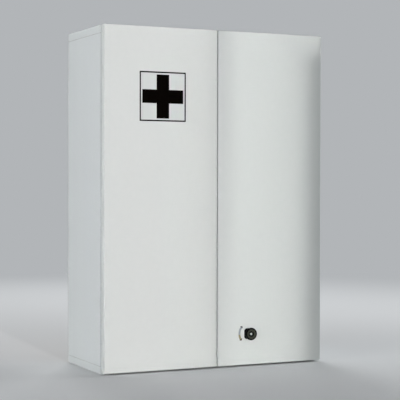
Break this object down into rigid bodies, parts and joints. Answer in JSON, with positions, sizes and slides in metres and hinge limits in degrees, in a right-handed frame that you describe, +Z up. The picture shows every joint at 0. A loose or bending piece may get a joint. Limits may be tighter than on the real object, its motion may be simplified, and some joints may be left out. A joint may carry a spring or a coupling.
{
  "type": "medicine cabinet",
  "caption": "Wall-hung white medicine cabinet with overlay doors on concealed hinges, adjustable shelves, a turn-knob lock, an inside bolt and a first-aid sign.",
  "frame": {"origin": "on the wall plane, in the middle of the four wall-screw holes", "axes": "+X to the right as seen from the front, +Y into the wall, +Z up"},
  "size_m": [0.5, 0.2222, 0.7],
  "materials": {
    "white_door_board": "satin-gloss white lacquered board",
    "white_board": "white melamine-faced chipboard, edged at the front",
    "hardboard": "thin hardboard, white inside and brown at the rear",
    "beech": "plain beech",
    "dark_plastic": "satin dark grey plastic",
    "soft_clear_bumper": "translucent soft plastic",
    "polished_steel": "bright polished steel",
    "die_cast_zinc": "nickel-plated die casting",
    "nickel_steel": "nickel-plated pressed steel"
  },
  "bodies": {
    "carcass": {"top_panel": "white_board", "bottom_panel": "white_board", "left_side_panel": "white_board", "right_side_panel": "white_board", "back_panel": "hardboard", "hanging_rail": "white_board", "lower_rail": "white_board", "upper_shelf": "white_board", "lower_shelf": "white_board", "upper_shelf_pins": "nickel_steel", "lower_shelf_pins": "nickel_steel", "panel_cams": "die_cast_zinc", "panel_cam_bolts": "nickel_steel", "wooden_dowels": "beech", "upper_left_hinge_arm": "nickel_steel", "upper_left_hinge_plate": "die_cast_zinc", "lower_left_hinge_arm": "nickel_steel", "lower_left_hinge_plate": "die_cast_zinc", "upper_right_hinge_arm": "nickel_steel", "upper_right_hinge_plate": "die_cast_zinc", "lower_right_hinge_arm": "nickel_steel", "lower_right_hinge_plate": "die_cast_zinc", "hinge_plate_screws": "nickel_steel", "hinge_clamp_screws": "nickel_steel", "hinge_adjusting_screws": "nickel_steel", "lock_strike": "nickel_steel", "lock_strike_screws": "nickel_steel", "bolt_strike": "nickel_steel", "bolt_strike_screws": "nickel_steel"},
    "left_door": {"left_door_panel": "white_door_board", "upper_left_hinge_cup": "nickel_steel", "upper_left_hinge_pin": "nickel_steel", "lower_left_hinge_cup": "nickel_steel", "lower_left_hinge_pin": "nickel_steel", "left_cup_screws": "nickel_steel", "left_door_bumpers": "soft_clear_bumper", "bolt_guide": "nickel_steel", "bolt_guide_screws": "nickel_steel"},
    "right_door": {"right_door_panel": "white_door_board", "upper_right_hinge_cup": "nickel_steel", "upper_right_hinge_pin": "nickel_steel", "lower_right_hinge_cup": "nickel_steel", "lower_right_hinge_pin": "nickel_steel", "right_cup_screws": "nickel_steel", "right_door_bumpers": "soft_clear_bumper", "lock_barrel": "dark_plastic", "lock_nut": "nickel_steel"},
    "turn_lock": {"lock_knob": "dark_plastic", "knob_screw": "polished_steel", "lock_spindle": "nickel_steel", "lock_cam": "nickel_steel", "lock_cam_nut": "nickel_steel"},
    "bolt": {"bolt_rod": "nickel_steel", "bolt_thumb_pin": "nickel_steel"}
  },
  "joints": [
    {"name": "left_door_swing", "type": "hinge", "parent": "carcass", "child": "left_door", "pos_m": [-0.2427, -0.2025, 0], "axis": [0, 0, -1], "range_deg": [0, 95]},
    {"name": "right_door_swing", "type": "hinge", "parent": "carcass", "child": "right_door", "pos_m": [0.2427, -0.2025, 0], "axis": [0, 0, 1], "range_deg": [0, 95]},
    {"name": "lock_turn", "type": "hinge", "parent": "right_door", "child": "turn_lock", "pos_m": [0.0761, -0.21, -0.2817], "axis": [0, -1, 0], "range_deg": [0, 90]},
    {"name": "bolt_slide", "type": "slide", "parent": "left_door", "child": "bolt", "axis": [0, 0, -1], "range_m": [0, 0.01]}
  ]
}
